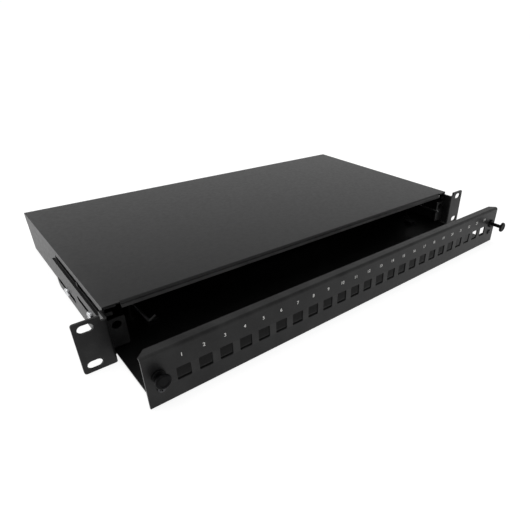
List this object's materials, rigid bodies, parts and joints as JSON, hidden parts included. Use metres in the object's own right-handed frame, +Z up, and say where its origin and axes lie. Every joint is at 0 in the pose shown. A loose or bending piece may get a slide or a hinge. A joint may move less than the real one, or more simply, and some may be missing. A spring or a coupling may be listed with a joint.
{
  "type": "sliding rack-mount fiber termination box",
  "caption": "One-unit sliding rack panel that ends a fibre cable: black sheet-steel housing, pull-out drawer with a numbered port panel, push-pull latches and splice cassettes.",
  "frame": {"origin": "centre of the four rack slots, on the rear mounting face of the two ears", "axes": "+X to the right seen from the front, +Y to the rear of the box, +Z up"},
  "size_m": [0.4826, 0.3547, 0.044],
  "materials": {
    "powder_coat_housing": "black satin powder coat on 1.2 mm steel",
    "powder_coat_cover": "black satin powder coat on 1.2 mm steel",
    "powder_coat_drawer": "black satin powder coat on 1.2 mm steel",
    "powder_coat_panel": "black satin powder coat on 1.5 mm steel",
    "powder_coat_ears": "black satin powder coat on 2 mm steel",
    "zinc_steel": "bright zinc plate",
    "black_zinc": "black zinc plate",
    "black_nylon": "moulded black nylon",
    "glide_plastic": "natural polyethylene tape",
    "cassette_plastic": "moulded black ABS",
    "cassette_lid_plastic": "moulded black ABS, smooth",
    "holder_foam": "grey silicone",
    "gland_rubber": "black rubber",
    "black_wire": "black coated steel wire"
  },
  "bodies": {
    "housing": {"housing_base": "powder_coat_housing", "top_cover": "powder_coat_cover", "cover_screws": "zinc_steel", "glide_strips": "glide_plastic", "earth_stud": "zinc_steel", "earth_nut_and_washer": "zinc_steel", "left_side_channel": "powder_coat_housing", "left_latch_tab": "powder_coat_housing", "left_ear_bracket": "powder_coat_ears", "left_bracket_screws": "zinc_steel", "left_clinch_nuts": "zinc_steel", "left_cable_gland_body": "black_nylon", "left_cable_gland_lock_nut": "black_nylon", "left_cable_gland_dome_nut": "black_nylon", "left_cable_gland_seal": "gland_rubber", "left_blanking_plug": "black_nylon", "right_side_channel": "powder_coat_housing", "right_latch_tab": "powder_coat_housing", "right_ear_bracket": "powder_coat_ears", "right_bracket_screws": "zinc_steel", "right_clinch_nuts": "zinc_steel", "right_cable_gland_body": "black_nylon", "right_cable_gland_lock_nut": "black_nylon", "right_cable_gland_dome_nut": "black_nylon", "right_cable_gland_seal": "gland_rubber", "right_blanking_plug": "black_nylon"},
    "drawer": {"drawer_tray": "powder_coat_drawer", "front_panel": "powder_coat_panel", "panel_screws": "black_zinc", "lower_splice_cassette": "cassette_plastic", "upper_splice_cassette": "cassette_plastic", "lower_splice_holder": "holder_foam", "upper_splice_holder": "holder_foam", "cassette_lid": "cassette_lid_plastic", "cassette_studs": "zinc_steel", "cassette_nuts": "zinc_steel", "cable_tie_saddles": "black_nylon", "strength_member_clamps": "zinc_steel", "left_guide_stud": "black_nylon", "left_latch_grommet": "black_nylon", "left_fiber_hook": "black_wire", "right_guide_stud": "black_nylon", "right_latch_grommet": "black_nylon", "right_fiber_hook": "black_wire"},
    "left_plunger": {"left_latch_plunger": "black_nylon"},
    "right_plunger": {"right_latch_plunger": "black_nylon"}
  },
  "joints": [
    {"name": "drawer_slide", "type": "slide", "parent": "housing", "child": "drawer", "axis": [0, -1, 0], "range_m": [-0.0622, 0.053]},
    {"name": "left_plunger_slide", "type": "slide", "parent": "drawer", "child": "left_plunger", "axis": [0, 1, 0], "range_m": [-0.0075, 0.0045]},
    {"name": "right_plunger_slide", "type": "slide", "parent": "drawer", "child": "right_plunger", "axis": [0, 1, 0], "range_m": [0, 0.012]}
  ]
}
